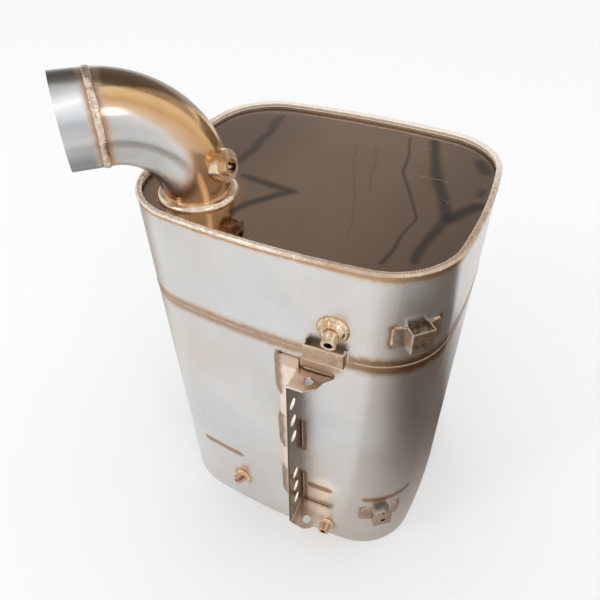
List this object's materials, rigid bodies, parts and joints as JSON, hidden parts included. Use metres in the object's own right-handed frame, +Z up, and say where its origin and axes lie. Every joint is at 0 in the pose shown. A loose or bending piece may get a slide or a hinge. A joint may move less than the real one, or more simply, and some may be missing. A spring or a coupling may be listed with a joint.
{
  "type": "catalytic converter",
  "caption": "Box-type stainless diesel catalytic converter with a tapered inlet elbow, folded mounting bracket, hat clips and sensor bosses.",
  "frame": {"origin": "centre of the bottom plate's flat underside, on the floor", "axes": "+X to the right along the long side seen from the bracket, +Y to the back where the outlet is, +Z up"},
  "size_m": [0.4899, 0.4702, 0.7864],
  "materials": {
    "shell_steel": "satin, cold rolled, with heat tint beside the welds",
    "plate_steel": "mirror polished, bronze heat tint",
    "pipe_steel": "polished, bronze and gold heat tint",
    "weld_bead": "rippled, straw to brown heat tint",
    "boss_steel": "turned, straw heat tint",
    "bracket_steel": "bright, folded sheet",
    "inner_steel": "plain",
    "mat": "ceramic fibre mat",
    "ceramic": "matte, honeycomb"
  },
  "bodies": {
    "root": {"main_shell": "shell_steel", "upper_shell": "shell_steel", "bottom_plate": "plate_steel", "top_plate": "plate_steel", "top_rim_weld": "weld_bead", "girth_seam_weld": "weld_bead", "lower_baffle": "inner_steel", "upper_baffle": "inner_steel", "canister_left": "inner_steel", "canister_right": "inner_steel", "inlet_cover": "inner_steel", "inlet_tube": "inner_steel", "inlet_elbow": "pipe_steel", "elbow_sensor_boss": "boss_steel", "elbow_root_weld": "weld_bead", "inlet_stub": "pipe_steel", "elbow_stub_weld": "weld_bead", "outlet_stub": "pipe_steel", "outlet_weld": "weld_bead", "chamber_sensor_boss": "boss_steel", "lower_sensor_boss_left": "boss_steel", "lower_sensor_boss_right": "boss_steel", "mounting_bracket": "bracket_steel", "seam_strap": "bracket_steel", "upper_clip": "bracket_steel", "upper_weld_nut": "bracket_steel", "lower_clip": "bracket_steel", "lower_weld_nut": "bracket_steel", "mat_left_lower": "mat", "catalyst_brick_left_lower": "ceramic", "mat_left_upper": "mat", "catalyst_brick_left_upper": "ceramic", "mat_right_lower": "mat", "catalyst_brick_right_lower": "ceramic", "mat_right_upper": "mat", "catalyst_brick_right_upper": "ceramic"}
  },
  "joints": []
}
